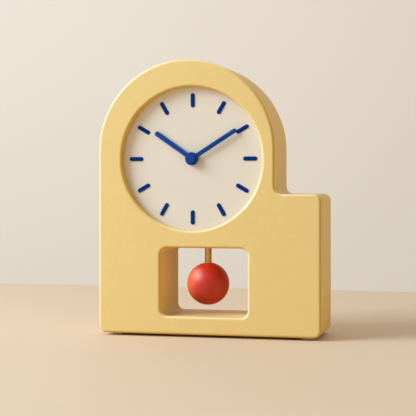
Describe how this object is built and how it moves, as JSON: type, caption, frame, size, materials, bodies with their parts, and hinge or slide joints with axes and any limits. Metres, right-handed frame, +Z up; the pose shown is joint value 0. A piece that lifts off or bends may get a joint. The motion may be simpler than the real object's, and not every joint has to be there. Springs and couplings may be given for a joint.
{
  "type": "desk pendulum clock",
  "caption": "Free-standing desk clock: round-topped tower over a wider base, recessed dial with bar markers, and a ball pendulum swinging in a window.",
  "frame": {"origin": "on the table, under the middle of the case's width and depth", "axes": "+X to the right seen from the front, +Y to the back, +Z up; the dial faces -Y"},
  "size_m": [0.16, 0.052, 0.196],
  "materials": {
    "case": "soft matte mustard, moulded in one colour",
    "cover": "fine-textured matte mustard",
    "dial": "matte warm cream",
    "blue": "satin blue enamel",
    "marker_blue": "satin blue",
    "ball": "satin red lacquer",
    "brass": "brushed brass",
    "steel": "bright steel",
    "feet": "translucent brown silicone",
    "housing": "black moulded plastic",
    "wheels": "natural white acetal",
    "knob": "black, grooved rim",
    "magnet": "dark grey sintered magnet",
    "copper": "enamelled copper winding",
    "board": "green solder mask",
    "cell": "printed sleeve, plain bands, no words",
    "nickel": "nickel-plated strip",
    "leads": "insulated wire"
  },
  "bodies": {
    "root": {"case_shell": "case", "window_sleeve": "case", "rear_cover": "cover", "rear_cover_screws": "steel", "door_hinge_pin": "steel", "rubber_feet": "feet", "dial_plate": "dial", "hour_markers": "marker_blue", "dial_screws": "steel", "movement_front": "housing", "movement_back": "housing", "movement_screws": "steel", "housing_screws": "steel", "hand_bushing": "brass", "stator": "steel", "coil_core": "steel", "motor_coil": "copper", "circuit_board": "board", "battery_contacts": "nickel", "pendulum_bracket": "housing", "bracket_screws": "steel", "pivot_pin": "steel", "drive_coil": "copper", "drive_board": "board", "drive_leads": "leads"},
    "door": {"access_door": "cover"},
    "battery": {"aa_battery": "cell"},
    "minute": {"minute_arbor": "brass", "minute_hand": "blue", "hand_cap": "blue"},
    "hour": {"hour_wheel": "wheels", "hour_hand": "blue"},
    "motion_work": {"minute_wheel": "wheels"},
    "knob": {"setting_knob": "knob"},
    "centre": {"centre_wheel": "wheels"},
    "third": {"third_wheel": "wheels"},
    "seconds": {"seconds_wheel": "wheels"},
    "intermediate": {"intermediate_wheel": "wheels"},
    "rotor": {"rotor": "magnet"},
    "pendulum": {"pivot_bush": "brass", "pendulum_hanger": "housing", "drive_magnet": "magnet", "pendulum_rod": "brass", "pendulum_ball": "ball"}
  },
  "joints": [
    {"name": "minute_turn", "type": "hinge", "parent": "root", "child": "minute", "pos_m": [-0.0121, 0, 0.1258], "axis": [0, 1, 0], "continuous": true},
    {"name": "hour_turn", "type": "hinge", "parent": "root", "child": "hour", "pos_m": [-0.0121, 0, 0.1258], "axis": [0, 1, 0], "continuous": true},
    {"name": "minute_wheel_turn", "type": "hinge", "parent": "root", "child": "motion_work", "pos_m": [-0.0241, 0, 0.1258], "axis": [0, 1, 0], "continuous": true},
    {"name": "knob_turn", "type": "hinge", "parent": "root", "child": "knob", "pos_m": [-0.02917, 0, 0.13668], "axis": [0, 1, 0], "continuous": true},
    {"name": "seconds_turn", "type": "hinge", "parent": "root", "child": "seconds", "pos_m": [0.00072, 0, 0.13617], "axis": [0, 1, 0], "continuous": true},
    {"name": "centre_turn", "type": "hinge", "parent": "root", "child": "centre", "pos_m": [-0.0121, 0, 0.1258], "axis": [0, 1, 0], "continuous": true},
    {"name": "third_turn", "type": "hinge", "parent": "root", "child": "third", "pos_m": [-0.00076, 0, 0.1278], "axis": [0, 1, 0], "continuous": true},
    {"name": "intermediate_turn", "type": "hinge", "parent": "root", "child": "intermediate", "pos_m": [-0.00518, 0, 0.14112], "axis": [0, 1, 0], "continuous": true},
    {"name": "rotor_turn", "type": "hinge", "parent": "root", "child": "rotor", "pos_m": [-0.01109, 0, 0.14216], "axis": [0, 1, 0], "continuous": true},
    {"name": "pendulum_swing", "type": "hinge", "parent": "root", "child": "pendulum", "pos_m": [-0.0056, 0, 0.0901], "axis": [0, 1, 0], "range_deg": [-10, 10]},
    {"name": "door_swing", "type": "hinge", "parent": "root", "child": "door", "pos_m": [-0.0121, 0.024, 0.0958], "axis": [-1, 0, 0], "range_deg": [0, 95]},
    {"name": "battery_out", "type": "slide", "parent": "root", "child": "battery", "axis": [0, 1, 0], "range_m": [0, 0.02]}
  ],
  "couplings": [
    {"joint": "minute_wheel_turn", "follows": "minute_turn", "ratio": -0.33333},
    {"joint": "hour_turn", "follows": "minute_turn", "ratio": 0.083333},
    {"joint": "knob_turn", "follows": "minute_turn", "ratio": 1},
    {"joint": "third_turn", "follows": "seconds_turn", "ratio": -0.13333},
    {"joint": "centre_turn", "follows": "seconds_turn", "ratio": 0.016667},
    {"joint": "intermediate_turn", "follows": "seconds_turn", "ratio": -6},
    {"joint": "rotor_turn", "follows": "seconds_turn", "ratio": 30}
  ]
}
